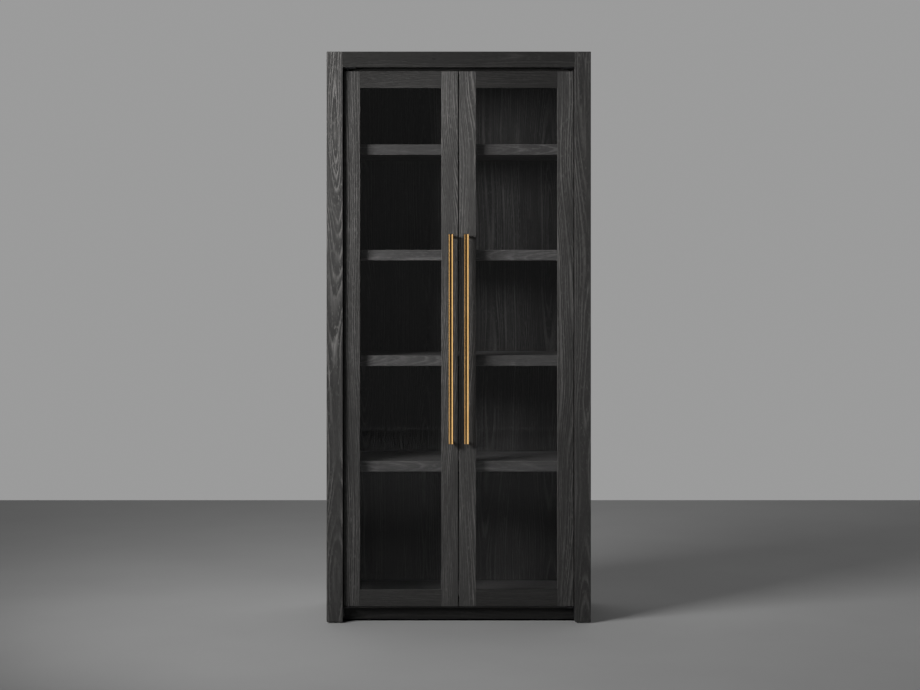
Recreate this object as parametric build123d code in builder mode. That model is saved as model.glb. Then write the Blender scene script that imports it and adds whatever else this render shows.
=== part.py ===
"""A tall, free-standing apothecary display cabinet in dark oak: two inset glass doors on pivot
hinges, four thick shelves on pins, a recessed toe kick and two long brass bar pulls.

Millimetres. +X is to the viewer's right, +Y towards the back, +Z up. The origin is on the floor, at
the middle of the width and of the whole depth, which the pulls add to in front of the case.
"""

from build123d import *
import os

os.makedirs("parts", exist_ok=True)

# Case
case_width = 1016
case_height = 2197
case_depth = 457
side_thick = 62
top_thick = 60
glide_thick = 4
ease = 1.5  # radius that every handled edge is eased by
foot_ease = 3  # chamfer around the foot of each side
fine_ease = 0.6  # on small metal parts
edge_break = 1  # on glass, pull bars, glides, bumpers and door backs

# Doors
door_recess = 20  # the doors' faces sit this far behind the front of the case
door_thick = 24
door_bottom = 62
door_reveal = 14  # dark gap between the doors and the top panel
door_gap = 3  # at each side
meeting_gap = 5  # between the two doors
hinge_stile_width = 63
meeting_stile_width = 64
rail_width = 64
lip_thick = 10  # wood in front of the glass
lip_wide = 10  # how far that wood covers the glass's edge
glass_thick = 5
glass_slack = 2
tape_thick = 1
bead_wide = 9
tape_wide = 7
butt_gap = 0.2  # between the ends of neighbouring strips
tenon_thick = 8
tenon_long = 20
tenon_tall = 44
tenon_shoulder = 1  # between the end of a tenon and its mortise, and below the rebate

# Bar pulls
bar_radius = 10
bar_axis_reach = 33  # from the door's face to the bar's axis
bar_low = 689.5
bar_high = 1495.5
bar_offset = 30  # from the middle of the cabinet
post_radius = 5
post_inset = 7.5  # from each end of the bar to the post's axis
spigot_radius = 3  # the part of a post that enters the bar
spigot_reach = 2  # past the bar's axis
pull_screw_radius = 2
pull_screw_bite = 12
pull_screw_head = 4
pull_screw_head_tall = 2.5
pull_screw_socket_radius = 1.2

# Pivot hinges
pivot_from_edge = 14
pivot_behind_face = 8
pivot_radius = 3
pivot_clearance = 0.05
bush_radius = 5
bush_long = 18
pin_tip_gap = 2  # between the end of a pivot pin and the bottom of its bush
bracket_thick = 3
bracket_wide = 28
washer_thick = 3
washer_radius = 7
plate_corner = 4
plate_past_screws = 8
plate_side_gap = 2
bracket_bend = 2
running_gap = 0.3
back_bevel = 3  # lets the hinge edge turn past the stop rail and the deck

# Inside
shelf_thick = 40
shelf_tops = (617, 1026, 1435, 1844)
shelf_end_gap = 1.5
shelf_setback = 57  # behind the front of the case
deck_under = 50
deck_thick = 40
front_setback = 48  # of the deck, the toe kick and the stop rail
back_thick = 12
rebate_wide = 12
rail_thick = 20  # toe kick, rear plinth rail and stop rail
stop_rail_tall = 30
kick_floor_gap = 8
pin_radius = 2.5
pin_long = 9
pin_step = 32
pin_plate_drop = 2  # from a shelf's underside to the top of its pins
pin_plate_half = 4
pin_plate_thick = 2.5
back_slack = 0.5  # around the back panel in its rebates
shelf_back_gap = 2

# Fasteners
dowel_inset = 35  # from the ends of a joint
blind_gap = 1  # left at the bottom of a hole for a dowel or a pin
plate_screw_steps = (13, 25)  # from the pivot towards the middle
pin_inset = 55  # from a shelf's front and from the back panel
back_screw_first = 150  # above the floor
back_screw_step = 310
back_screw_rows = 7
back_row_drop = 18  # below the top of the bottom panel
glide_inset = 30  # from the front and the back of the case
cut_past = 1  # how far a rebate's cutter runs past the open faces
dowel_radius = 4
dowel_half = 15
cam_radius = 7.5
cam_tall = 19.5
cam_from_end = 34
cam_axis_up = 15
cam_slot_long = 9
cam_slot_wide = 1.6
cam_slot_deep = 1
bolt_radius = 3.4
bolt_thread_radius = 2.5
bolt_thread_long = 11
screw_radius = 2
screw_head = 4
back_screw_radius = 1.5
back_screw_head = 3.5
wall_hole_radius = 3
wall_hole_offset = 300
wall_hole_drop = 15  # below the top panel
strike_screw_long = 14
strike_screw_head = 2.8

# Places worked out from the sizes above
pull_reach = bar_axis_reach + bar_radius - door_recess
case_front = pull_reach - (case_depth + pull_reach) / 2
case_back = case_front + case_depth
side_outer = case_width / 2
side_inner = side_outer - side_thick
top_under = case_height - top_thick
back_front = case_back - back_thick
inner_front = case_front + front_setback
deck_top = deck_under + deck_thick
door_front = case_front + door_recess
door_back = door_front + door_thick
door_top = top_under - door_reveal
hinge_edge = side_inner - door_gap
meeting_edge = meeting_gap / 2
hinge_sight = hinge_edge - hinge_stile_width
meeting_sight = meeting_edge + meeting_stile_width
low_sight = door_bottom + rail_width
high_sight = door_top - rail_width
lip_back = door_front + lip_thick
glass_front = lip_back + tape_thick
glass_back = glass_front + glass_thick
bar_axis = door_front - bar_axis_reach
post_heights = (bar_low + post_inset, bar_high - post_inset)
pivot_x = hinge_edge - pivot_from_edge
pivot_y = door_front + pivot_behind_face
shelf_front = case_front + shelf_setback
stop_under = top_under - stop_rail_tall
door_middle = (door_front + door_back) / 2
tenon_y = (door_middle - tenon_thick / 2, door_middle + tenon_thick / 2)
tenon_zs = {"bottom_rail": low_sight - lip_wide - tenon_shoulder - tenon_tall / 2,
            "top_rail": high_sight + lip_wide + tenon_shoulder + tenon_tall / 2}

sides = {"left": -1, "right": 1}
UP, DOWN, FORWARD, BACKWARD = (0, 0, 1), (0, 0, -1), (0, -1, 0), (0, 1, 0)


def save(built, label):
    """Name a finished piece and write it as its own file."""
    built.part.label = label
    export_step(built.part, f"parts/{label}.step")


def block(x, y, z, mode=Mode.ADD):
    """A box that fills three (one end, other end) spans, in the piece being built."""
    middle = [sum(span) / 2 for span in (x, y, z)]
    with Locations(tuple(middle)):
        Box(*(abs(span[1] - span[0]) for span in (x, y, z)), mode=mode)


def facing(point, outward):
    """A plane on a surface whose normal points out of it, for holes and screws."""
    return Plane(origin=point, z_dir=outward)


def drill(points, outward, radius, depth):
    """Round holes from points on one face straight into the piece being built."""
    with Locations(*(facing(point, outward) for point in points)):
        Cylinder(radius, depth, align=(Align.CENTER, Align.CENTER, Align.MAX), mode=Mode.SUBTRACT)


def countersink(points, outward, radius, head, depth):
    """Screw holes with a 90 degree countersink that a flat head fills."""
    with Locations(*(facing(point, outward) for point in points)):
        CounterSinkHole(radius, head, depth, 90)


def rods(points, outward, radius, length):
    """Round rods that run from points on one face into it."""
    with Locations(*(facing(point, outward) for point in points)):
        Cylinder(radius, length, align=(Align.CENTER, Align.CENTER, Align.MAX))


def flat_screws(points, outward, radius, head, length):
    """Countersunk screws with a cross recess, heads flush with the points given."""
    head_tall = head - radius
    with Locations(*(facing(point, outward) for point in points)):
        Cylinder(radius, length, align=(Align.CENTER, Align.CENTER, Align.MAX))
        Cone(radius, head, head_tall, align=(Align.CENTER, Align.CENTER, Align.MAX))
        for wide, across in ((head, radius / 2), (radius / 2, head)):
            Box(wide, across, head_tall, align=(Align.CENTER, Align.CENTER, Align.MAX),
                mode=Mode.SUBTRACT)


# Rows of fastenings that more than one piece has to agree on. Each is mirrored by a side's sign.
top_dowel_ys = (case_front + dowel_inset, 0, case_back - dowel_inset)
top_dowel_z = (top_under + case_height) / 2
top_cam_ys = (-120, 120)
cam_x = side_inner - cam_from_end
deck_dowel_ys = (inner_front + dowel_inset, 0, back_front - dowel_inset)
deck_dowel_z = (deck_under + deck_top) / 2
deck_cam_ys = (-80, 120)
kick_y = inner_front + rail_thick / 2
plinth_y = back_front - rail_thick / 2
kick_dowel_z = (kick_floor_gap + deck_under) / 2
rail_dowel_xs = (-300, 0, 300)
stop_y = inner_front + rail_thick / 2
stop_dowel_z = (stop_under + top_under) / 2
stop_screw_xs = (-320, -110, 110, 320)
stop_screw_long = 45
pin_ys = (shelf_front + pin_inset, back_front - pin_inset)
back_screw_x = side_inner + (rebate_wide - back_slack) / 2
back_screw_zs = [back_screw_first + back_screw_step * row for row in range(back_screw_rows)]
back_screw_row_xs = (-330, -110, 110, 330)
back_screw_long = 30
back_row_zs = (deck_top - back_row_drop, top_under + rebate_wide / 2)
bracket_low = 17
bracket_top = door_bottom - running_gap - washer_thick
bracket_screw_zs = (26, 43)
bracket_screw_long = 25
top_plate_screw_xs = [pivot_x - step for step in plate_screw_steps]
top_plate_screw_long = 25
glide_radius = 15
glide_x = side_inner + side_thick / 2
glide_ys = (case_front + glide_inset, case_back - glide_inset)
stem_radius = 4
stem_long = 20
catch_x = meeting_edge + meeting_stile_width / 2
catch_zs = {"top": (stop_under + door_top) / 2, "deck": (door_bottom + deck_top) / 2}
catch_radius = 6
catch_long = 14
catch_gap = 0.4
strike_radius = 7
strike_thick = 1.5
bumper_x = 200
bumper_radius = 4
bumper_stem_radius = 2
bumper_stem_long = 8


def both_sides(x, *rest):
    """The same point on the left and on the right."""
    return [(sign * x, *rest) for sign in sides.values()]


def side_panel(side):
    """A full-height side: rebated for the back, drilled for dowels, bolts, pins and pivot screws."""
    sign = sides[side]
    inward = (-sign, 0, 0)
    inner = sign * side_inner
    with BuildPart() as panel:
        block((inner, sign * side_outer), (case_front, case_back), (glide_thick, case_height))
        chamfer(panel.faces().sort_by(Axis.Z)[0].edges(), foot_ease)
        fillet(panel.edges().filter_by(Axis.Z) + panel.faces().sort_by(Axis.Z)[-1].edges(), ease)
        block((inner - sign * cut_past, inner + sign * rebate_wide), (back_front, case_back + cut_past),
              (deck_under, top_under + rebate_wide), Mode.SUBTRACT)
        drill([(inner, y, top_dowel_z) for y in top_dowel_ys], inward, dowel_radius,
              dowel_half + blind_gap)
        drill([(inner, y, deck_dowel_z) for y in deck_dowel_ys], inward, dowel_radius,
              dowel_half + blind_gap)
        drill([(inner, y, kick_dowel_z) for y in (kick_y, plinth_y)], inward, dowel_radius,
              dowel_half + blind_gap)
        drill([(inner, stop_y, stop_dowel_z)], inward, dowel_radius, dowel_half + blind_gap)
        drill([(inner, y, top_under + cam_axis_up) for y in top_cam_ys], inward,
              bolt_thread_radius, bolt_thread_long)
        drill([(inner, y, deck_under + cam_axis_up) for y in deck_cam_ys], inward,
              bolt_thread_radius, bolt_thread_long)
        drill([(inner, y, top - shelf_thick - pin_radius - pin_plate_drop + step * pin_step)
               for top in shelf_tops for y in pin_ys for step in (-1, 0, 1)],
              inward, pin_radius, pin_long + blind_gap)
        drill([(inner, pivot_y, z) for z in bracket_screw_zs], inward, screw_radius,
              bracket_screw_long - bracket_thick)
        drill([(sign * back_screw_x, back_front, z) for z in back_screw_zs], BACKWARD,
              back_screw_radius, back_screw_long - back_thick)
        drill([(sign * glide_x, y, glide_thick) for y in glide_ys], DOWN, stem_radius, stem_long)
    save(panel, f"{side}_side_panel")


def shelf(number, top):
    """One thick shelf. It lies on four pins and stops short of the sides and the back."""
    with BuildPart() as board:
        block((shelf_end_gap - side_inner, side_inner - shelf_end_gap),
              (shelf_front, back_front - shelf_back_gap), (top - shelf_thick, top))
        fillet(board.edges().filter_by(Axis.X), ease)
    save(board, f"shelf_{number}")


def stile(side, role, outer_edge, sight, back_bevel_size):
    """An upright of a door: rebated for the glass, mortised for the rails, drilled for hardware."""
    sign = sides[side]
    into_stile = 1 if outer_edge > sight else -1
    rebate_wall = sight + into_stile * lip_wide
    with BuildPart() as upright:
        with BuildSketch(Plane.XY.offset(door_bottom)) as section:
            with Locations((sign * (outer_edge + sight) / 2, door_middle)):
                Rectangle(abs(outer_edge - sight), door_thick)
            fillet(section.vertices().group_by(Axis.Y)[0], ease)
            back_corners = section.vertices().group_by(Axis.Y)[-1]
            chamfer(back_corners.sort_by(Axis.X, reverse=sign * into_stile < 0)[-1], back_bevel_size)
            with Locations((sign * (sight + rebate_wall) / 2, (lip_back + door_back) / 2)):
                Rectangle(lip_wide, door_back - lip_back, mode=Mode.SUBTRACT)
        extrude(amount=door_top - door_bottom)
        for tenon_z in tenon_zs.values():
            mortise_end = rebate_wall + into_stile * (tenon_long + tenon_shoulder)
            block((sign * (sight - into_stile * cut_past), sign * mortise_end),
                  tenon_y, (tenon_z - tenon_tall / 2, tenon_z + tenon_tall / 2), Mode.SUBTRACT)
        if role == "hinge_stile":
            drill([(sign * pivot_x, pivot_y, door_bottom)], DOWN, bush_radius, bush_long)
            drill([(sign * pivot_x, pivot_y, door_top)], UP, bush_radius, bush_long)
        if role == "meeting_stile":
            drill([(sign * bar_offset, door_back, z) for z in post_heights], BACKWARD,
                  pull_screw_radius, door_thick)
            catches = [(sign * catch_x, door_back, z) for z in catch_zs.values()]
            drill(catches, BACKWARD, strike_radius, strike_thick)
            drill(catches, BACKWARD, back_screw_radius, strike_screw_long)
    save(upright, f"{side}_{role}")


def door_rail(side, role, outer_edge, sight):
    """A level member of a door's frame, with a longer shoulder behind the lip and two tenons."""
    sign = sides[side]
    into_rail = 1 if outer_edge > sight else -1
    rebate_wall = sight + into_rail * lip_wide
    tenon_z = tenon_zs[role]
    with BuildPart() as rail:
        block((sign * meeting_sight, sign * hinge_sight), (door_front, lip_back), (sight, outer_edge))
        fillet(rail.faces().sort_by(Axis.Y)[0].edges().filter_by(Axis.X), ease)
        block((sign * (meeting_sight - lip_wide), sign * (hinge_sight + lip_wide)),
              (lip_back, door_back), (rebate_wall, outer_edge))
        tenon_reach = lip_wide + tenon_long
        block((sign * (meeting_sight - tenon_reach), sign * (hinge_sight + tenon_reach)),
              tenon_y, (tenon_z - tenon_tall / 2, tenon_z + tenon_tall / 2))
    save(rail, f"{side}_{role}")


def glazing(side):
    """The glass of a door, the tape in front of it and the wooden beads that hold it in."""
    sign = sides[side]
    wall_x = (meeting_sight - lip_wide, hinge_sight + lip_wide)
    wall_z = (low_sight - lip_wide, high_sight + lip_wide)
    with BuildPart() as glass:
        block([sign * (wall_x[0] + glass_slack), sign * (wall_x[1] - glass_slack)],
              (glass_front, glass_back), (wall_z[0] + glass_slack, wall_z[1] - glass_slack))
        chamfer(glass.edges().filter_by(Axis.Y), edge_break)
    save(glass, f"{side}_glass")

    for label, front, back, wide in (("glazing_tape", lip_back, glass_front, tape_wide),
                                     ("glazing_beads", glass_back, door_back, bead_wide)):
        with BuildPart() as strips:
            for x_wall, inward in ((wall_x[0], 1), (wall_x[1], -1)):
                block((sign * x_wall, sign * (x_wall + inward * wide)), (front, back),
                      (wall_z[0] + wide + butt_gap, wall_z[1] - wide - butt_gap))
            for z_wall, inward in ((wall_z[0], 1), (wall_z[1], -1)):
                block((sign * wall_x[0], sign * wall_x[1]), (front, back),
                      (z_wall, z_wall + inward * wide))
        save(strips, f"{side}_{label}")


def pull(side):
    """A long round bar on two posts, each held by a screw from the back of the meeting stile."""
    sign = sides[side]
    axis_x = sign * bar_offset
    post_feet = [(axis_x, door_front, z) for z in post_heights]
    with BuildPart() as bar:
        with BuildSketch(Plane.XY.offset(bar_low)):
            with Locations((axis_x, bar_axis)):
                Circle(bar_radius)
        extrude(amount=bar_high - bar_low)
        chamfer(bar.edges().filter_by(GeomType.CIRCLE), edge_break)
        drill([(axis_x, bar_axis + bar_radius, z) for z in post_heights], BACKWARD,
              spigot_radius, bar_radius + spigot_reach)
    save(bar, f"{side}_pull_bar")

    with BuildPart() as posts:
        rods(post_feet, BACKWARD, post_radius, bar_axis_reach)
        with Locations((axis_x, bar_axis, (bar_low + bar_high) / 2)):
            Cylinder(bar_radius, bar_high - bar_low, mode=Mode.SUBTRACT)
        rods([(x, bar_axis + bar_radius + spigot_reach, z) for x, _, z in post_feet], BACKWARD,
             spigot_radius, bar_radius + 2 * spigot_reach)
        drill(post_feet, BACKWARD, pull_screw_radius, pull_screw_bite)
    save(posts, f"{side}_pull_posts")

    with BuildPart() as screws:
        backs = [(axis_x, door_back, z) for z in post_heights]
        rods(backs, BACKWARD, pull_screw_radius, door_thick + pull_screw_bite)
        with Locations(*(facing(point, BACKWARD) for point in backs)):
            Cylinder(pull_screw_head, pull_screw_head_tall,
                     align=(Align.CENTER, Align.CENTER, Align.MIN))
        drill([(x, y + pull_screw_head_tall, z) for x, y, z in backs], BACKWARD,
              pull_screw_socket_radius, pull_screw_head_tall)
    save(screws, f"{side}_pull_screws")


def door_fittings(side):
    """Pivot bushes in the hinge stile, and the steel discs that meet the magnets."""
    sign = sides[side]
    with BuildPart() as bushes:
        ends = (((sign * pivot_x, pivot_y, door_bottom), DOWN), ((sign * pivot_x, pivot_y, door_top), UP))
        for point, outward in ends:
            rods([point], outward, bush_radius, bush_long)
            drill([point], outward, pivot_radius + pivot_clearance, bush_long)
    save(bushes, f"{side}_pivot_bushes")

    catches = [(sign * catch_x, door_back, z) for z in catch_zs.values()]
    with BuildPart() as strikes:
        rods(catches, BACKWARD, strike_radius, strike_thick)
        countersink(catches, BACKWARD, back_screw_radius, strike_screw_head, strike_thick)
    save(strikes, f"{side}_strike_discs")

    with BuildPart() as strike_screws:
        flat_screws(catches, BACKWARD, back_screw_radius, strike_screw_head, strike_screw_long)
    save(strike_screws, f"{side}_strike_screws")


for side in sides:
    side_panel(side)
    stile(side, "hinge_stile", hinge_edge, hinge_sight, back_bevel)
    stile(side, "meeting_stile", meeting_edge, meeting_sight, edge_break)
    door_rail(side, "top_rail", door_top, high_sight)
    door_rail(side, "bottom_rail", door_bottom, low_sight)
    glazing(side)
    pull(side)
    door_fittings(side)

for number, top in enumerate(reversed(shelf_tops), start=1):
    shelf(number, top)

with BuildPart() as top_panel:
    block((-side_inner, side_inner), (case_front, case_back), (top_under, case_height))
    fillet(top_panel.edges().filter_by(Axis.X), ease)
    block((-side_inner, side_inner), (back_front, case_back + cut_past),
          (top_under - cut_past, top_under + rebate_wide), Mode.SUBTRACT)
    for sign in sides.values():
        end = sign * side_inner
        drill([(end, y, top_dowel_z) for y in top_dowel_ys], (sign, 0, 0), dowel_radius,
              dowel_half + blind_gap)
        drill([(end, y, top_under + cam_axis_up) for y in top_cam_ys], (sign, 0, 0), bolt_radius,
              cam_from_end)
    cam_spots = [spot for y in top_cam_ys for spot in both_sides(cam_x, y, top_under)]
    drill(cam_spots, DOWN, cam_radius, cam_tall)
    plate_screw_spots = [spot for x in top_plate_screw_xs for spot in both_sides(x, pivot_y, top_under)]
    drill(plate_screw_spots, DOWN, screw_radius, top_plate_screw_long - bracket_thick)
    drill([(x, stop_y, top_under) for x in stop_screw_xs], DOWN, screw_radius,
          stop_screw_long - stop_rail_tall)
    drill([(x, back_front, back_row_zs[1]) for x in back_screw_row_xs], BACKWARD, back_screw_radius,
          back_screw_long - back_thick)
save(top_panel, "top_panel")

with BuildPart() as bottom_panel:
    block((-side_inner, side_inner), (inner_front, back_front), (deck_under, deck_top))
    fillet(bottom_panel.faces().sort_by(Axis.Y)[0].edges().filter_by(Axis.X), ease)
    for sign in sides.values():
        end = sign * side_inner
        drill([(end, y, deck_dowel_z) for y in deck_dowel_ys], (sign, 0, 0), dowel_radius,
              dowel_half + blind_gap)
        drill([(end, y, deck_under + cam_axis_up) for y in deck_cam_ys], (sign, 0, 0), bolt_radius,
              cam_from_end)
        drill([(sign * catch_x, inner_front, catch_zs["deck"])], FORWARD, catch_radius, catch_long)
        drill([(sign * bumper_x, inner_front, catch_zs["deck"])], FORWARD, bumper_stem_radius,
              bumper_stem_long)
    cam_spots = [spot for y in deck_cam_ys for spot in both_sides(cam_x, y, deck_under)]
    drill(cam_spots, DOWN, cam_radius, cam_tall)
    drill([(x, y, deck_under) for x in rail_dowel_xs for y in (kick_y, plinth_y)], DOWN, dowel_radius,
          dowel_half + blind_gap)
    drill([(x, back_front, back_row_zs[0]) for x in back_screw_row_xs], BACKWARD, back_screw_radius,
          back_screw_long - back_thick)
save(bottom_panel, "bottom_panel")

with BuildPart() as back_panel:
    reach = side_inner + rebate_wide - back_slack
    block((-reach, reach), (back_front, case_back), (deck_under, top_under + rebate_wide - back_slack))
    countersink([(sign * back_screw_x, case_back, z) for sign in sides.values() for z in back_screw_zs],
                BACKWARD, back_screw_radius, back_screw_head, back_thick)
    countersink([(x, case_back, z) for x in back_screw_row_xs for z in back_row_zs], BACKWARD,
                back_screw_radius, back_screw_head, back_thick)
    drill(both_sides(wall_hole_offset, case_back, top_under - wall_hole_drop), BACKWARD,
          wall_hole_radius, back_thick)
save(back_panel, "back_panel")

for label, y in (("toe_kick", kick_y), ("rear_plinth_rail", plinth_y)):
    with BuildPart() as level_rail:
        block((-side_inner, side_inner), (y - rail_thick / 2, y + rail_thick / 2),
              (kick_floor_gap, deck_under))
        for sign in sides.values():
            drill([(sign * side_inner, y, kick_dowel_z)], (sign, 0, 0), dowel_radius,
                  dowel_half + blind_gap)
        drill([(x, y, deck_under) for x in rail_dowel_xs], UP, dowel_radius, dowel_half + blind_gap)
    save(level_rail, label)

with BuildPart() as stop_rail:
    block((-side_inner, side_inner), (inner_front, inner_front + rail_thick), (stop_under, top_under))
    fillet(stop_rail.faces().sort_by(Axis.Z)[0].edges().filter_by(Axis.X), ease)
    for sign in sides.values():
        drill([(sign * side_inner, stop_y, stop_dowel_z)], (sign, 0, 0), dowel_radius,
              dowel_half + blind_gap)
        drill([(sign * catch_x, inner_front, catch_zs["top"])], FORWARD, catch_radius, catch_long)
        drill([(sign * bumper_x, inner_front, catch_zs["top"])], FORWARD, bumper_stem_radius,
              bumper_stem_long)
    countersink([(x, stop_y, stop_under) for x in stop_screw_xs], DOWN, screw_radius, screw_head,
                stop_rail_tall)
save(stop_rail, "door_stop_rail")

with BuildPart() as shelf_pins:
    for sign in sides.values():
        for top in shelf_tops:
            under = top - shelf_thick
            for y in pin_ys:
                rods([(sign * (side_inner - pin_long), y, under - pin_radius - pin_plate_drop)],
                     (-sign, 0, 0), pin_radius, 2 * pin_long)
                block((sign * side_inner, sign * (side_inner - pin_long)),
                      (y - pin_plate_half, y + pin_plate_half), (under - pin_plate_thick, under))
save(shelf_pins, "shelf_pins")

with BuildPart() as dowels:
    for sign in sides.values():
        end = sign * (side_inner - dowel_half)
        places = [(end, y, top_dowel_z) for y in top_dowel_ys]
        places += [(end, y, deck_dowel_z) for y in deck_dowel_ys]
        places += [(end, y, kick_dowel_z) for y in (kick_y, plinth_y)]
        places += [(end, stop_y, stop_dowel_z)]
        rods(places, (-sign, 0, 0), dowel_radius, 2 * dowel_half)
    rods([(x, y, deck_under + dowel_half) for x in rail_dowel_xs for y in (kick_y, plinth_y)], UP,
         dowel_radius, 2 * dowel_half)
save(dowels, "dowels")

joints_under = ((top_under, top_cam_ys), (deck_under, deck_cam_ys))
with BuildPart() as cam_locks:
    for under, ys in joints_under:
        for sign in sides.values():
            for y in ys:
                spot = (sign * cam_x, y, under)
                rods([spot], DOWN, cam_radius, cam_tall)
                drill([(sign * side_inner, y, under + cam_axis_up)], (sign, 0, 0), bolt_radius,
                      cam_from_end)
                with Locations((spot[0], spot[1], under)):
                    Box(cam_slot_long, cam_slot_wide, 2 * cam_slot_deep, mode=Mode.SUBTRACT)
                    Box(cam_slot_wide, cam_slot_long, 2 * cam_slot_deep, mode=Mode.SUBTRACT)
save(cam_locks, "cam_locks")

with BuildPart() as cam_bolts:
    for under, ys in joints_under:
        for sign in sides.values():
            joint_face = [(sign * side_inner, y, under + cam_axis_up) for y in ys]
            rods(joint_face, (sign, 0, 0), bolt_radius, cam_from_end)
            rods(joint_face, (-sign, 0, 0), bolt_thread_radius, bolt_thread_long)
save(cam_bolts, "cam_bolts")

with BuildPart() as back_screws:
    edge_spots = [(sign * back_screw_x, case_back, z) for sign in sides.values() for z in back_screw_zs]
    row_spots = [(x, case_back, z) for x in back_screw_row_xs for z in back_row_zs]
    flat_screws(edge_spots + row_spots, BACKWARD, back_screw_radius, back_screw_head, back_screw_long)
save(back_screws, "back_panel_screws")

with BuildPart() as stop_screws:
    flat_screws([(x, stop_y, stop_under) for x in stop_screw_xs], DOWN, screw_radius, screw_head,
                stop_screw_long)
save(stop_screws, "stop_rail_screws")

with BuildPart() as glides:
    spots = [spot for y in glide_ys for spot in both_sides(glide_x, y, 0)]
    rods(spots, DOWN, glide_radius, glide_thick)
    chamfer(glides.faces().group_by(Axis.Z)[0].edges(), edge_break)
    rods(spots, DOWN, stem_radius, glide_thick + stem_long)
save(glides, "floor_glides")

with BuildPart() as brackets:
    for sign in sides.values():
        with BuildSketch(Plane.XZ.offset(-pivot_y)) as angle:
            with BuildLine():
                Polyline((sign * side_inner, bracket_low), (sign * side_inner, bracket_top),
                         (sign * (pivot_x - bracket_wide / 2), bracket_top),
                         (sign * (pivot_x - bracket_wide / 2), bracket_top - bracket_thick),
                         (sign * (side_inner - bracket_thick), bracket_top - bracket_thick),
                         (sign * (side_inner - bracket_thick), bracket_low), close=True)
            make_face()
        extrude(amount=bracket_wide / 2, both=True)
    fillet(brackets.edges().filter_by(Axis.Y).group_by(Axis.Z)[-2], bracket_bend)
    for sign in sides.values():
        drill([(sign * pivot_x, pivot_y, bracket_top)], UP, pivot_radius, bracket_thick)
        countersink([(sign * (side_inner - bracket_thick), pivot_y, z) for z in bracket_screw_zs],
                    (-sign, 0, 0), screw_radius, screw_head, bracket_thick)
save(brackets, "bottom_pivot_brackets")

with BuildPart() as top_plates:
    plate_outer = side_inner - plate_side_gap
    plate_y = (pivot_y - bracket_wide / 2, pivot_y + bracket_wide / 2)
    for sign in sides.values():
        block((sign * plate_outer, sign * (top_plate_screw_xs[1] - plate_past_screws)), plate_y,
              (top_under - bracket_thick, top_under))
    fillet(top_plates.edges().filter_by(Axis.Z), plate_corner)
    drill(both_sides(pivot_x, pivot_y, top_under - bracket_thick), DOWN, pivot_radius, bracket_thick)
    countersink([spot for x in top_plate_screw_xs
                 for spot in both_sides(x, pivot_y, top_under - bracket_thick)],
                DOWN, screw_radius, screw_head, bracket_thick)
save(top_plates, "top_pivot_plates")

with BuildPart() as pivot_pins:
    low_tip = door_bottom + bush_long - pin_tip_gap
    rods(both_sides(pivot_x, pivot_y, low_tip), UP, pivot_radius, low_tip - (bracket_top - bracket_thick))
    high_tip = door_top - bush_long + pin_tip_gap
    rods(both_sides(pivot_x, pivot_y, high_tip), DOWN, pivot_radius, top_under - high_tip)
    chamfer(pivot_pins.edges().filter_by(GeomType.CIRCLE), fine_ease)
save(pivot_pins, "pivot_pins")

with BuildPart() as pivot_screws:
    for sign in sides.values():
        flat_screws([(sign * (side_inner - bracket_thick), pivot_y, z) for z in bracket_screw_zs],
                    (-sign, 0, 0), screw_radius, screw_head, bracket_screw_long)
    flat_screws([spot for x in top_plate_screw_xs
                 for spot in both_sides(x, pivot_y, top_under - bracket_thick)],
                DOWN, screw_radius, screw_head, top_plate_screw_long)
save(pivot_screws, "pivot_screws")

with BuildPart() as washers:
    rods(both_sides(pivot_x, pivot_y, door_bottom - running_gap), UP, washer_radius, washer_thick)
    drill(both_sides(pivot_x, pivot_y, door_bottom - running_gap), UP, pivot_radius + pivot_clearance,
          washer_thick)
save(washers, "thrust_washers")

catch_reach = inner_front - door_back - catch_gap
with BuildPart() as magnets:
    for z in catch_zs.values():
        rods(both_sides(catch_x, inner_front - catch_reach, z), FORWARD, catch_radius,
             catch_long + catch_reach)
    chamfer(magnets.faces().group_by(Axis.Y)[0].edges(), fine_ease)
save(magnets, "door_magnets")

with BuildPart() as bumpers:
    for z in catch_zs.values():
        rods(both_sides(bumper_x, inner_front - catch_reach, z), FORWARD, bumper_radius, catch_reach)
    chamfer(bumpers.faces().group_by(Axis.Y)[0].edges(), edge_break)
    for z in catch_zs.values():
        rods(both_sides(bumper_x, inner_front, z), FORWARD, bumper_stem_radius, bumper_stem_long)
save(bumpers, "door_bumpers")
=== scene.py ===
"""Looks of the apothecary cabinet: dark wire-brushed oak, lacquered brass pulls and clear glass."""

import math

import bpy
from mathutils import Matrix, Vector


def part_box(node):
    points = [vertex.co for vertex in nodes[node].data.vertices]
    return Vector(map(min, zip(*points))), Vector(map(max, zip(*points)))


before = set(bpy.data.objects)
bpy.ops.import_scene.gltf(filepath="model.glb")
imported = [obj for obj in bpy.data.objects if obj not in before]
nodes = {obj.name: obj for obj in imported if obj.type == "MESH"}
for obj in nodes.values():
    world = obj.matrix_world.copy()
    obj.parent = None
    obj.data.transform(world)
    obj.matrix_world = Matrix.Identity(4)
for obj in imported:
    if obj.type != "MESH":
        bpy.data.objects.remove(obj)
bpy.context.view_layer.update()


# ---------------------------------------------------------------- node graphs

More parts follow.
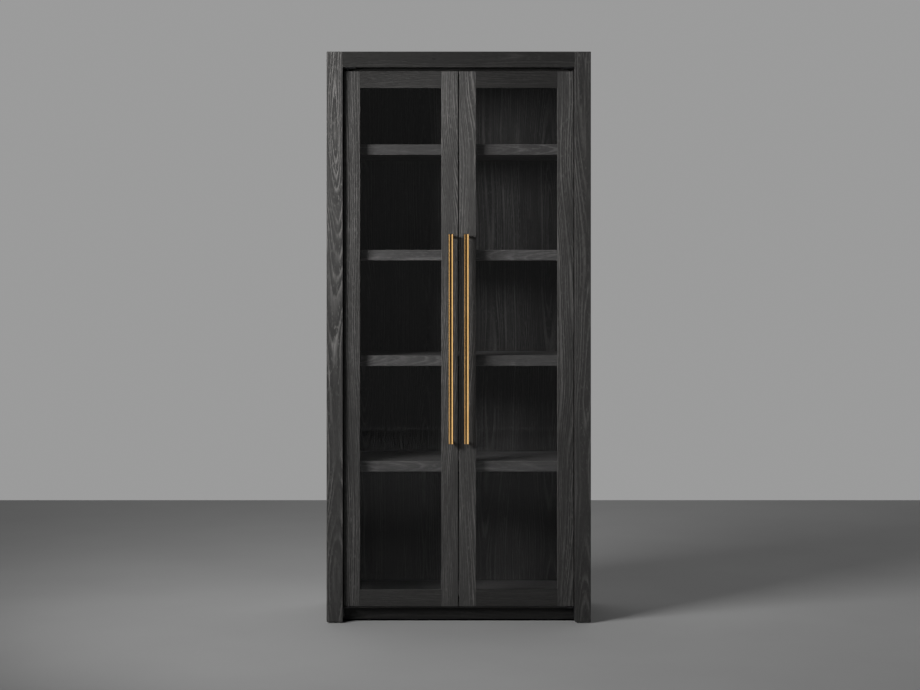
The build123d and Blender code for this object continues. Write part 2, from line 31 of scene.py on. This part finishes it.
class Graph:
    """The node tree of a material or a world, with short calls for the nodes in it."""

    def __init__(self, owner):
        owner.use_nodes = True
        self.tree = owner.node_tree
        self.tree.nodes.clear()

    def node(self, kind, inputs=(), **settings):
        """Adds a node. inputs maps a socket's name or number to a value or another node's output."""
        made = self.tree.nodes.new(kind)
        for key, value in settings.items():
            setattr(made, key, value)
        for key, value in dict(inputs).items():
            if isinstance(value, bpy.types.NodeSocket):
                self.tree.links.new(value, made.inputs[key])
            else:
                made.inputs[key].default_value = value
        return made

    def math(self, operation, *values):
        inputs = dict(enumerate(values))
        return self.node("ShaderNodeMath", inputs, operation=operation).outputs[0]

    def add(self, a, b):
        return self.math("ADD", a, b)

    def times(self, a, b):
        return self.math("MULTIPLY", a, b)

    def larger(self, a, b):
        return self.math("MAXIMUM", a, b)

    def scaled(self, value, factor, offset=0.0):
        """value * factor + offset"""
        return self.math("MULTIPLY_ADD", value, factor, offset)

    def plus(self, base, *parts):
        """base, and value * factor added for each pair in parts"""
        for value, factor in parts:
            base = self.scaled(value, factor, base)
        return base

    def swing(self, value, reach, middle=0.0):
        """A value from 0 to 1, turned into one that lies within reach of middle."""
        return self.scaled(value, 2 * reach, middle - reach)

    def ramp(self, value, low, high, start=0.0, end=1.0):
        """start below low, end above high, and smooth between them."""
        inputs = {"Value": value, "From Min": low, "From Max": high, "To Min": start, "To Max": end}
        return self.node("ShaderNodeMapRange", inputs, interpolation_type="SMOOTHSTEP").outputs[0]

    def band(self, value, rise, fall):
        """1 between two ramps and 0 outside them. rise and fall are pairs of limits."""
        return self.times(self.ramp(value, *rise), self.ramp(value, *fall, start=1.0, end=0.0))

    def blend(self, factor, a, b):
        inputs = {0: factor, 6: a, 7: b}
        return self.node("ShaderNodeMix", inputs, data_type="RGBA").outputs[2]

    def choose(self, factor, a, b):
        inputs = {0: factor, 2: a, 3: b}
        return self.node("ShaderNodeMix", inputs, data_type="FLOAT").outputs[0]

    def point(self, x, y, z):
        return self.node("ShaderNodeCombineXYZ", {0: x, 1: y, 2: z}).outputs[0]

    def split(self, vector):
        return self.node("ShaderNodeSeparateXYZ", {0: vector}).outputs

    def noise(self, vector, scale, detail=2.0, roughness=0.5):
        """Noise from 0 to 1. scale is in cells to a metre, where vector is in metres."""
        inputs = {"Vector": vector, "Scale": scale, "Detail": detail, "Roughness": roughness}
        return self.node("ShaderNodeTexNoise", inputs).outputs[0]

    def place(self):
        """The point on the piece, in metres, and its normal, both turning with the piece."""
        coords = self.node("ShaderNodeTexCoord")
        return coords.outputs["Object"], coords.outputs["Normal"]

    def bump(self, height, distance, strength):
        inputs = {"Height": height, "Distance": distance, "Strength": strength}
        return self.node("ShaderNodeBump", inputs).outputs[0]

    def finish(self, **sockets):
        """Ends the tree in a Principled shader with these sockets. A _ stands for a space."""
        inputs = {name.replace("_", " "): value for name, value in sockets.items()}
        shader = self.node("ShaderNodeBsdfPrincipled", inputs)
        self.node("ShaderNodeOutputMaterial", {"Surface": shader.outputs[0]})


def opaque(colour, brightness=1.0):
    """An RGBA colour from an RGB one."""
    return (*(brightness * part for part in colour), 1.0)


def grey(value, warmth=0.0):
    """An opaque neutral colour, a little warmer or cooler."""
    return (value * (1 + warmth), value, value * (1 - warmth), 1.0)


# ---------------------------------------------------------------- oak

# Growth rings are cylinders round a heart line that wanders behind the face. Lengths are in metres.
ring_spacing = 0.0062
ring_drift = 2.4  # rings, the most that noise moves one from its even place
ring_drift_rate = 70.0  # to a metre of radius
heart_wander = 0.045  # to either side, along one leaf
heart_lean = 0.008  # to either side, from leaf to leaf
heart_depth_range = 0.13  # how far behind the face it lies, from one place to another
heart_depth_least = -0.022  # below 0 it comes out of the face, where the arches are
swirl_reach = 0.005
ragged_reach = 0.0013

# Where the two halves of a ring fade in and out, from 0 to 1 across the ring
open_grain_limits = {"rise": (0.0, 0.12), "fall": (0.18, 0.52)}
late_wood_limits = {"rise": (0.50, 0.78), "fall": (0.86, 1.0)}

# What makes one leaf unlike the next: a move along the grain, and moves within three noises
seed_step = 3.7
leaf_move = 17.0
wander_apart = 9.0
nearness_apart = 7.0
drift_apart = 5.0
depth_layers = 20.0  # to a metre, so that faces at unlike depths differ too
leaf_contrast = 0.11

# Between these limits a mark fades in, on the noise that it comes from
pore_limits = (0.53, 0.64)
fleck_limits = (0.52, 0.70)
flecked_patch_limits = (0.30, 0.62)
waxed_patch_limits = (0.32, 0.66)
waxed_fibre_limits = (0.30, 0.62)
# On the eased edges the paleness is rubbed wax and also a painted highlight along the arrises
rubbed_and_highlit_patch_limits = (0.35, 0.6)
rubbed_and_highlit_edge_limits = (0.02, 0.25)  # 0 on a flat face, 0.29 halfway round an eased edge
fibre_limits = (0.25, 0.75)
cloud_limits = (0.32, 0.7)

# The share of wax that the barest patches and fibres keep, and the least and most that an eased edge
# takes of rubbed wax and painted highlight
least_patch_wax = 0.08
least_fibre_wax = 0.40
rubbed_wax_and_edge_highlight = (0.15, 0.75)

# Brightness of each part of the grain, in shares of the board's tone, and a slight warmth
dark_fibre = (0.62, 0.02)
pale_fibre = (1.25, 0.03)
pale_cloud = (1.35, 0.02)
dark_late_wood = (0.40, 0.0)
# The pale wax colour also paints the highlight along the eased edges
pale_wax_and_edge_highlight = (4.3, 0.03)
dark_pore = (0.25, 0.0)
cloud_share = 0.6
late_wood_share = 0.6
fleck_share = 0.5
pore_share = 0.55
pore_outside_open_grain = 0.4

# Relief that the wire brush leaves, in shares of its whole depth, and roughness
brushed_depth = 0.0006
open_grain_sink = 0.45
fibre_rise = 0.5
pore_sink = 0.7
stain_roughness = 0.44
fibre_roughness = 0.16
wax_roughness = 0.14


def wear(material, *names):
    """Gives a material to CAD nodes."""
    for name in names:
        for slot in nodes[name].material_slots:
            slot.material = material


def board_place(g, piece, grain):
    """A point's place along the grain, across it and into the board, and how far off flat it is."""
    low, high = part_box(piece)
    to_middle = [-(a + b) / 2 for a, b in zip(low, high)]
    position, normal = g.place()
    inputs = {0: position, 1: to_middle}
    centred = g.node("ShaderNodeVectorMath", inputs, operation="ADD").outputs[0]
    x, y, z = g.split(centred)
    nx, ny, nz = (g.math("ABSOLUTE", part) for part in g.split(normal))
    if grain == "Z":
        along, side_on = z, g.math("GREATER_THAN", nx, ny)
        across, deep = g.choose(side_on, x, y), g.choose(side_on, y, x)
    else:
        along, side_on = x, g.math("GREATER_THAN", ny, nz)
        across, deep = g.choose(side_on, y, z), g.choose(side_on, z, y)
    eased = g.math("SUBTRACT", 1.0, g.larger(nx, g.larger(ny, nz)))
    return along, across, deep, eased


def leaf_chances(g, across, deep, leaf, start, seed):
    """How far a point is from the middle of its leaf, and three random numbers for the leaf."""
    leaf_place = g.scaled(across, 1 / leaf, -start / leaf)
    from_middle = g.times(g.add(g.math("FRACT", leaf_place), -0.5), leaf)
    layer = g.math("ROUND", g.times(deep, depth_layers))
    leaf_key = g.point(g.math("FLOOR", leaf_place), layer, seed)
    chance = g.node("ShaderNodeTexWhiteNoise", {"Vector": leaf_key}, noise_dimensions="3D")
    return from_middle, g.split(chance.outputs["Color"])


def growth_ring(g, from_middle, length, chances, unevenness, seed):
    """How far a point is through its growth ring, from 0 to 1."""
    shift, lean, shade = chances
    wander_point = g.point(length, g.scaled(lean, wander_apart, seed), 0.0)
    wander = g.noise(wander_point, scale=1.1, detail=1.0)
    nearness_point = g.point(seed, length, g.scaled(shade, nearness_apart))
    nearness = g.noise(nearness_point, scale=0.9, detail=1.0)
    depth = g.scaled(nearness, heart_depth_range, heart_depth_least)
    leaning = g.scaled(lean, 2 * heart_lean, -heart_lean - heart_wander)
    sideways = g.add(from_middle, g.scaled(wander, 2 * heart_wander, leaning))
    radius = g.math("SQRT", g.add(g.times(sideways, sideways), g.times(depth, depth)))
    radius = g.add(radius, unevenness)
    drift_point = g.point(g.times(radius, ring_drift_rate), g.scaled(shift, drift_apart), 0.0)
    drift = g.noise(drift_point, scale=1.0, detail=1.0)
    return g.math("FRACT", g.scaled(radius, 1 / ring_spacing, g.times(drift, ring_drift)))


def oak(piece, grain, tone, figure, leaf=0.2, start=-0.1):
    """Plain-sawn oak, stained charcoal and wire-brushed, with paler wax left in the open grain.

    grain is the axis that the boards run along, tone the brightness of the stain, which on some
    pieces also carries painted light and shade, and figure the strength of the rings. leaf is the
    width of one board or veneer leaf, and start is where its first seam lies, across the grain from
    the middle of the piece. A seed that comes from the number of materials so far gives every piece
    its own figure.
    """
    material = bpy.data.materials.new("oak_" + piece)
    seed = seed_step * len(bpy.data.materials)
    g = Graph(material)
    along, across, deep, eased = board_place(g, piece, grain)
    from_middle, chances = leaf_chances(g, across, deep, leaf, start, seed)
    shift, _, shade = chances
    length = g.scaled(shift, leaf_move, along)

    def drawn_out(squeeze, scale, detail, roughness=0.5):
        """Noise that is longer along the grain than across it, by 1 / squeeze."""
        stretched = g.point(across, deep, g.scaled(length, squeeze))
        return g.noise(stretched, scale, detail, roughness)

    def stain(part):
        share, warmth = part
        return grey(share * tone, warmth)

    swirl = g.swing(drawn_out(squeeze=0.16, scale=14.0, detail=2.0), swirl_reach)
    ragged = g.swing(drawn_out(squeeze=0.07, scale=210.0, detail=2.0), ragged_reach)
    ring = growth_ring(g, from_middle, length, chances, g.add(swirl, ragged), seed)
    open_grain = g.band(ring, **open_grain_limits)
    late_wood = g.band(ring, **late_wood_limits)

    # fibres, pores, patches and flecks, all drawn out along the grain
    fibre = drawn_out(squeeze=0.012, scale=900.0, detail=2.0, roughness=0.6)
    pore_noise = drawn_out(squeeze=0.035, scale=1300.0, detail=1.0)
    pore_depth = g.scaled(open_grain, 1 - pore_outside_open_grain, pore_outside_open_grain)
    pore = g.times(g.ramp(pore_noise, *pore_limits), pore_depth)
    patch = drawn_out(squeeze=0.10, scale=24.0, detail=3.0, roughness=0.6)
    cloud = drawn_out(squeeze=0.3, scale=3.5, detail=2.0)
    fleck_noise = drawn_out(squeeze=0.3, scale=170.0, detail=2.0, roughness=0.6)
    fleck = g.times(g.ramp(fleck_noise, *fleck_limits), g.ramp(patch, *flecked_patch_limits))

    # wax in the open grain and in flecks, and on the eased edges rubbed wax together with a painted
    # highlight along the arrises
    wax_and_edge_highlight = g.times(open_grain, g.ramp(patch, *waxed_patch_limits, start=least_patch_wax))
    wax_and_edge_highlight = g.times(wax_and_edge_highlight, g.ramp(fibre, *waxed_fibre_limits, start=least_fibre_wax))
    wax_and_edge_highlight = g.times(wax_and_edge_highlight, figure)
    wax_and_edge_highlight = g.larger(wax_and_edge_highlight, g.times(fleck, fleck_share * figure))
    rubbed_and_highlit_patch = g.ramp(patch, *rubbed_and_highlit_patch_limits, *rubbed_wax_and_edge_highlight)
    wax_and_edge_highlight = g.larger(wax_and_edge_highlight, g.times(g.ramp(eased, *rubbed_and_highlit_edge_limits), rubbed_and_highlit_patch))

    # stain, darker in the late wood and the pores, paler in clouds, where wax lies and where the
    # eased edges carry the painted highlight
    colour = g.blend(g.ramp(fibre, *fibre_limits), stain(dark_fibre), stain(pale_fibre))
    clouded = g.ramp(cloud, *cloud_limits, end=cloud_share)
    colour = g.blend(clouded, colour, stain(pale_cloud))
    late_share = g.times(late_wood, g.scaled(patch, late_wood_share * figure))
    colour = g.blend(late_share, colour, stain(dark_late_wood))
    colour = g.blend(wax_and_edge_highlight, colour, stain(pale_wax_and_edge_highlight))
    colour = g.blend(g.times(pore, pore_share), colour, stain(dark_pore))
    inputs = {"Color": colour, "Value": g.swing(shade, leaf_contrast, middle=1.0)}
    colour = g.node("ShaderNodeHueSaturation", inputs).outputs[0]

    # the brush hollows out the open grain and the pores, and leaves the fibres proud
    brushed = g.add(g.times(fibre, fibre_rise), g.scaled(pore, -pore_sink))
    height = g.add(g.scaled(open_grain, -open_grain_sink), brushed)
    g.finish(Base_Color=colour, Specular_IOR_Level=0.18,
             Roughness=g.plus(stain_roughness, (fibre, fibre_roughness), (wax_and_edge_highlight, wax_roughness)),
             Normal=g.bump(height, distance=brushed_depth, strength=0.8))
    wear(material, piece)


# ---------------------------------------------------------------- other materials

def brass():
    """Lacquered brass, turned along its length, with faint streaks and a few dull spots."""
    material = bpy.data.materials.new("lacquered_brass")
    g = Graph(material)
    position, _ = g.place()
    x, y, z = g.split(position)
    sideways_squeeze = 0.06  # the turning marks run round the bar
    turned = g.point(g.times(x, sideways_squeeze), g.times(y, sideways_squeeze), z)
    turning = g.noise(turned, scale=1800.0, detail=2.0, roughness=0.6)
    handled = g.noise(position, scale=14.0, detail=3.0, roughness=0.6)
    spots = g.ramp(g.noise(position, scale=140.0, detail=2.0), 0.60, 0.72)
    deep_gold = opaque((0.70, 0.42, 0.155))
    pale_gold = opaque((0.76, 0.47, 0.19))
    dull_gold = opaque((0.45, 0.27, 0.11))
    spot_share = 0.35
    colour = g.blend(g.ramp(handled, 0.3, 0.7), deep_gold, pale_gold)
    colour = g.blend(g.times(spots, spot_share), colour, dull_gold)
    polish = 0.05
    rough = g.plus(polish, (spots, 0.08), (handled, 0.05), (turning, 0.06))
    g.finish(Base_Color=colour, Metallic=1.0, Roughness=rough, Coat_Weight=0.4, Coat_Roughness=0.08,
             Normal=g.bump(turning, distance=0.00004, strength=0.4))
    return material


def glass():
    """A clear pane: it lets light straight through and mirrors a little, more at a slant."""
    material = bpy.data.materials.new("clear_glass")
    g = Graph(material)
    position, _ = g.place()
    smear = g.noise(position, scale=6.0, detail=3.0)
    front = g.math("SUBTRACT", 1.0, g.node("ShaderNodeNewGeometry").outputs["Backfacing"])
    gloss_share = g.times(g.node("ShaderNodeFresnel", {"IOR": 1.5}).outputs[0], front)
    darker, clearer = opaque((0.945, 0.945, 0.95)), opaque((0.96, 0.96, 0.965))
    tint = g.blend(g.ramp(smear, 0.3, 0.8), darker, clearer)
    through = g.node("ShaderNodeBsdfTransparent", {"Color": tint}).outputs[0]
    mirror_rough = g.plus(0.01, (smear, 0.03))
    mirror = g.node("ShaderNodeBsdfGlossy", {"Roughness": mirror_rough}).outputs[0]
    pane = g.node("ShaderNodeMixShader", {0: gloss_share, 1: through, 2: mirror})
    g.node("ShaderNodeOutputMaterial", {"Surface": pane.outputs[0]})
    return material


def metal(name, colour, rough, streak_scale):
    """Bare or plated metal with fine streaks and uneven polish."""
    material = bpy.data.materials.new(name)
    g = Graph(material)
    position, _ = g.place()
    streaks = g.noise(position, streak_scale, detail=3.0, roughness=0.6)
    tarnish = g.ramp(g.noise(position, scale=90.0, detail=3.0), 0.45, 0.75)
    tarnish_share = 0.5
    dull = opaque(colour, brightness=0.6)
    tint = g.blend(g.times(tarnish, tarnish_share), opaque(colour), dull)
    g.finish(Base_Color=tint, Metallic=1.0, Roughness=g.plus(rough, (streaks, 0.25)),
             Normal=g.bump(streaks, distance=0.00005, strength=0.5))
    return material


def coating(name, colour, rough, grain_scale, relief):
    """Paint, plastic, foam or rubber with a fine moulded or sprayed surface."""
    material = bpy.data.materials.new(name)
    g = Graph(material)
    position, _ = g.place()
    grain = g.noise(position, grain_scale, detail=2.0)
    dust = g.ramp(g.noise(position, scale=30.0, detail=4.0, roughness=0.6), 0.4, 0.8)
    dust_share, dust_gain, dust_grey = 0.6, 1.3, 0.01
    dusty = tuple(min(1.0, dust_gain * part + dust_grey) for part in colour)
    tint = g.blend(g.times(dust, dust_share), opaque(colour), opaque(dusty))
    g.finish(Base_Color=tint, Roughness=g.plus(rough, (grain, 0.2)),
             Normal=g.bump(grain, distance=relief, strength=0.6))
    return material


def beech():
    """Raw beech for the dowels: pale, with short dark flecks along the grain."""
    material = bpy.data.materials.new("raw_beech")
    g = Graph(material)
    position, _ = g.place()
    x, y, z = g.split(position)
    along_squeeze = 0.12
    stretched = g.point(g.times(x, along_squeeze), y, z)
    flecks = g.ramp(g.noise(stretched, scale=1600.0, detail=1.0), 0.6, 0.68)
    pale, dark = opaque((0.52, 0.34, 0.19)), opaque((0.30, 0.17, 0.08))
    g.finish(Base_Color=g.blend(flecks, pale, dark), Roughness=g.plus(0.55, (flecks, 0.2)),
             Normal=g.bump(flecks, distance=0.0001, strength=0.5))
    return material


# ---------------------------------------------------------------- which piece wears what

case_leaves = {"leaf": 0.152, "start": -0.076}
back_leaves = {"leaf": 0.250, "start": 0.0}
deck_leaves = {"leaf": 0.132, "start": -0.066}
shelf_leaves = {"leaf": 0.129, "start": -0.0645}
door_seam = -0.04
# The shelves' tones differ from one another as painted light and shade, each set for how bright its
# front shows in its bay
shelf_tones_with_painted_light = (0.052, 0.075, 0.072, 0.071)  # from the top shelf down
# The right door's darker stile and rails are painted shade, for the light falling off away from the
# key on the left. The top rails are darker than the stiles as painted shade, for how the brushed
# horizontal grain takes the light from the side.
door_tones_and_painted_shade = (("left_", 0.041, 0.026), ("right_", 0.036, 0.019))  # hinge stile, then top rail
# The bottom rails are lifted above the top rails' tone as painted light, where the lamps leave the
# foot of the doors darker
bottom_rail_painted_light_gain = 1.4

pull_brass = brass()
oak("left_side_panel", "Z", tone=0.042, figure=1.0, **case_leaves)
# The right side's lower tone is painted shade, for the light falling off away from the key on the
# left
oak("right_side_panel", "Z", tone=0.035, figure=0.55, **case_leaves)
# The top panel's low tone is painted shade, for how its brushed horizontal grain takes the light
# from the side
oak("top_panel", "X", tone=0.020, figure=0.35, **case_leaves)
# The back panel's very dark tone is painted shade for the deep interior behind the glass
oak("back_panel", "Z", tone=0.019, figure=0.8, **back_leaves)
oak("bottom_panel", "X", tone=0.066, figure=0.35, **deck_leaves)
# The toe kick's very dark tone is painted shade for its recess under the doors
oak("toe_kick", "X", tone=0.0125, figure=0.3)
oak("rear_plinth_rail", "X", tone=0.030, figure=0.3)
# The stop rail's very dark tone is painted shade for the reveal above the doors
oak("door_stop_rail", "X", tone=0.012, figure=0.3)
for number, shelf_tone in enumerate(shelf_tones_with_painted_light, start=1):
    oak(f"shelf_{number}", "X", tone=shelf_tone, figure=0.35, **shelf_leaves)
for side, stile_tone, rail_tone in door_tones_and_painted_shade:
    oak(side + "hinge_stile", "Z", tone=stile_tone, figure=0.75, start=door_seam)
    oak(side + "meeting_stile", "Z", tone=0.054, figure=0.6, start=door_seam)
    oak(side + "top_rail", "X", tone=rail_tone, figure=0.25, start=door_seam)
    oak(side + "bottom_rail", "X", tone=bottom_rail_painted_light_gain * rail_tone, figure=0.25, start=door_seam)
    oak(side + "glazing_beads", "Z", tone=0.040, figure=0.35)
    wear(pull_brass, side + "pull_bar", side + "pull_posts")

wear(glass(), "left_glass", "right_glass")

foam = coating("glazing_foam", (0.012, 0.012, 0.012), rough=0.7, grain_scale=1500.0, relief=0.0003)
wear(foam, "left_glazing_tape", "right_glazing_tape")
powder_coat = coating("black_powder_coat", (0.012, 0.012, 0.013), rough=0.4, grain_scale=2500.0,
                      relief=0.0001)
wear(powder_coat, "bottom_pivot_brackets", "top_pivot_plates")
nylon = coating("black_nylon", (0.014, 0.014, 0.014), rough=0.45, grain_scale=1200.0, relief=0.0001)
wear(nylon, "floor_glides", "thrust_washers", "left_pivot_bushes", "right_pivot_bushes")
wear(metal("dark_steel", (0.05, 0.05, 0.052), rough=0.35, streak_scale=700.0), "pivot_pins")
rubber = coating("clear_rubber", (0.45, 0.45, 0.42), rough=0.5, grain_scale=800.0, relief=0.0001)
wear(rubber, "door_bumpers")
nickel = metal("nickel_plate", (0.62, 0.60, 0.56), rough=0.18, streak_scale=400.0)
wear(nickel, "cam_locks", "door_magnets")
zinc = metal("zinc_steel", (0.52, 0.53, 0.55), rough=0.25, streak_scale=700.0)
wear(zinc, "cam_bolts", "back_panel_screws", "stop_rail_screws", "pivot_screws", "shelf_pins",
     "left_pull_screws", "right_pull_screws", "left_strike_discs", "right_strike_discs",
     "left_strike_screws", "right_strike_screws")
wear(beech(), "dowels")


# ---------------------------------------------------------------- floor, light and camera

case_low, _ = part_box("left_side_panel")
case_front = case_low[1]

floor_half_wide = 9.0
floor_near = -9.0
floor_behind_front = 3.8
floor_far = case_front + floor_behind_front
floor_corners = [(-floor_half_wide, floor_near, 0), (floor_half_wide, floor_near, 0),
                 (floor_half_wide, floor_far, 0), (-floor_half_wide, floor_far, 0)]
floor_mesh = bpy.data.meshes.new("floor")
floor_mesh.from_pydata(floor_corners, [], [(0, 1, 2, 3)])
floor = bpy.data.objects.new("floor", floor_mesh)
bpy.context.collection.objects.link(floor)
floor_paint = bpy.data.materials.new("pale_floor")
g = Graph(floor_paint)
floor_place, _ = g.place()
mottle = g.noise(floor_place, scale=1.5, detail=3.0)
dark_mottle, pale_mottle = grey(0.33), grey(0.38)
g.finish(Base_Color=g.blend(mottle, dark_mottle, pale_mottle), Specular_IOR_Level=0.0,
         Roughness=g.plus(0.60, (mottle, 0.1)))
floor_mesh.materials.append(floor_paint)


def softbox(name, azimuth, distance, height, width, tall, watts, tilt=2.0, spread=180.0,
            diffuse=True, glossy=True):
    """A rectangular lamp that faces the cabinet and leans down by tilt degrees.

    azimuth is in degrees to the right of the direction that the cabinet faces, as its front is seen.
    diffuse and glossy say whether it lights surfaces, and whether it shows in their reflections.
    """
    lamp = bpy.data.lights.new(name, "AREA")
    lamp.shape = "RECTANGLE"
    lamp.size, lamp.size_y, lamp.energy = width, tall, watts
    lamp.spread = math.radians(spread)
    box = bpy.data.objects.new(name, lamp)
    turn = math.radians(azimuth)
    box.location = (distance * math.sin(turn), case_front - distance * math.cos(turn), height)
    box.rotation_euler = (math.radians(90.0 - tilt), 0, turn)
    box.visible_camera = False
    box.visible_diffuse, box.visible_glossy = diffuse, glossy
    bpy.context.collection.objects.link(box)


# The key shapes the wood. The cards only show as reflections in the brass and the glass, and the
# last lamp hangs over the floor in front, where it lights what the lowest panes mirror.
softbox("key", azimuth=-51, distance=3.5, height=2.35, width=1.8, tall=0.9, watts=88, tilt=5.7,
        spread=105, glossy=False)
softbox("left_card", azimuth=-88, distance=3.0, height=1.3, width=1.6, tall=2.6, watts=22,
        diffuse=False)
softbox("right_card", azimuth=70, distance=3.0, height=1.3, width=3.8, tall=2.6, watts=38,
        diffuse=False)
softbox("front_card", azimuth=0, distance=8.5, height=1.4, width=3.0, tall=4.0, watts=7, tilt=1.3,
        diffuse=False)
softbox("floor_light", azimuth=0, distance=5.5, height=2.6, width=3.0, tall=4.6, watts=30, tilt=90,
        spread=90, glossy=False)

# The backdrop looks the same grey all round. The light from it comes from behind the cabinet, so
# that the front keeps the key's shadows.
backdrop = grey(0.33)
front_room = grey(0.004)
back_room = grey(0.75)
back_limits = (-0.1, 0.6)  # part of a direction that points to the back, from front to back room
world = bpy.data.worlds.new("studio")
bpy.context.scene.world = world
sky = Graph(world)
direction = sky.node("ShaderNodeTexCoord").outputs["Generated"]
_, towards_back, _ = sky.split(direction)
room = sky.blend(sky.ramp(towards_back, *back_limits), front_room, back_room)
seen = sky.node("ShaderNodeBackground", {"Color": backdrop}).outputs[0]
lighting = sky.node("ShaderNodeBackground", {"Color": room}).outputs[0]
first_ray = sky.node("ShaderNodeLightPath").outputs["Is Camera Ray"]
either = sky.node("ShaderNodeMixShader", {0: first_ray, 1: lighting, 2: seen}).outputs[0]
sky.node("ShaderNodeOutputWorld", {"Surface": either})

view_distance = 7.1
frame_width = 3.535
eye_height = 1.357
horizon_shift = -0.0814
side_shift = 0.00137
lens = bpy.data.cameras.new("camera")
lens.sensor_width = 36.0
lens.lens = lens.sensor_width * view_distance / frame_width
lens.shift_x, lens.shift_y = side_shift, horizon_shift
camera = bpy.data.objects.new("camera", lens)
camera.location = (0.0, case_front - view_distance, eye_height)
camera.rotation_euler = (math.pi / 2, 0, 0)
bpy.context.collection.objects.link(camera)
bpy.context.scene.camera = camera
bpy.context.scene.view_settings.view_transform = "Standard"
